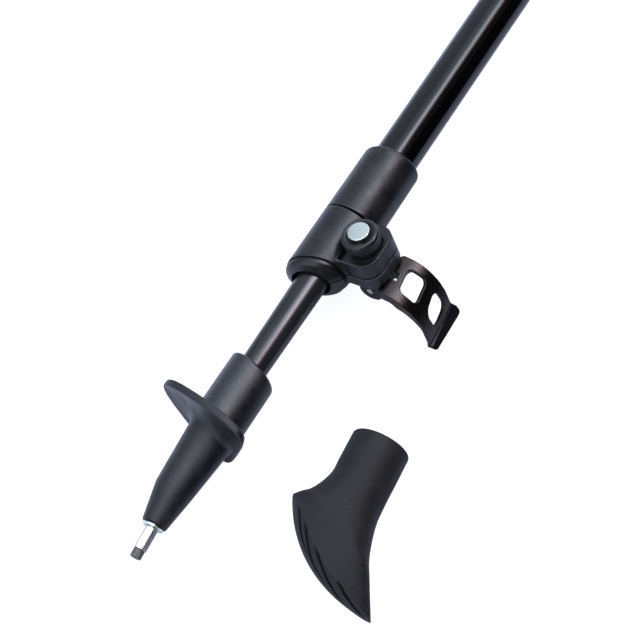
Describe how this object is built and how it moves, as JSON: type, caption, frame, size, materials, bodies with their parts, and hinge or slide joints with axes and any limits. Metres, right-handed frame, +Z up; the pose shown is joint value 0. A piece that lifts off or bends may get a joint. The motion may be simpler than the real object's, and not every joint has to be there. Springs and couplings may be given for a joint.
{
  "type": "nordic walking pole",
  "caption": "Telescopic walking pole with a lever clamp, flanged rubber cone, hard tip and a loose rubber boot.",
  "frame": {"origin": "on the ground, at the middle of the bounding box's base", "axes": "+Y along the lying pole from tip to grip, +X towards the lever and the boot, +Z up"},
  "size_m": [0.0996, 0.866, 0.0398],
  "materials": {
    "gloss_black": "clear-coated black tube",
    "satin_black": "satin black anodised collar",
    "black_plastic": "moulded black nylon",
    "tip_rubber": "smooth moulded black cone",
    "lever_bronze": "satin grey-bronze cast lever",
    "chrome": "bright chrome",
    "steel": "bright zinc steel",
    "carbide": "dark sintered carbide",
    "grip_foam": "matte closed-cell foam",
    "grip_plastic": "moulded grip head",
    "button_grey": "mid-grey push button",
    "boot_rubber": "matte black moulded rubber"
  },
  "bodies": {
    "pole": {"upper_shaft": "gloss_black", "lock_collar": "satin_black", "clamp_liner": "black_plastic", "clamp_bolt": "steel", "cam_plate": "steel", "thrust_washer": "black_plastic", "grip_ring": "black_plastic", "grip_sleeve": "grip_foam", "grip_head": "grip_plastic", "shaft_plug": "black_plastic", "button_spring": "steel"},
    "lower_section": {"lower_shaft": "gloss_black", "shaft_guide": "black_plastic", "shaft_ferrule": "black_plastic", "tip_cone": "tip_rubber", "tip_washer": "chrome", "spike_post": "chrome", "carbide_tip": "carbide"},
    "lever": {"lock_lever": "lever_bronze", "lever_pin": "steel"},
    "adjuster": {"adjuster_wheel": "black_plastic", "adjuster_nut": "chrome"},
    "button": {"release_button": "button_grey"},
    "boot": {"rubber_boot": "boot_rubber", "boot_disc": "steel"}
  },
  "joints": [
    {"name": "telescope", "type": "slide", "parent": "pole", "child": "lower_section", "axis": [0, -1, 0.005], "range_m": [-0.034, 0.43]},
    {"name": "clamp_lever", "type": "hinge", "parent": "pole", "child": "lever", "pos_m": [-0.01065, -0.302, 0.01375], "axis": [0, 1, -0.005], "range_deg": [0, 155]},
    {"name": "clamp_nut", "type": "hinge", "parent": "pole", "child": "adjuster", "pos_m": [-0.01922, -0.3019, 0.03449], "axis": [-0.3821, 0.0046, 0.9241], "continuous": true},
    {"name": "strap_button", "type": "slide", "parent": "pole", "child": "button", "axis": [0, -1, 0.005], "range_m": [0, 0.004], "stiffness_N_per_m": 900, "springref_m": -0.004, "deforming": ["button_spring"]},
    {"name": "boot_lift", "type": "slide", "parent": "pole", "child": "boot", "axis": [0, 0, 1], "range_m": [0, 0.25]}
  ]
}
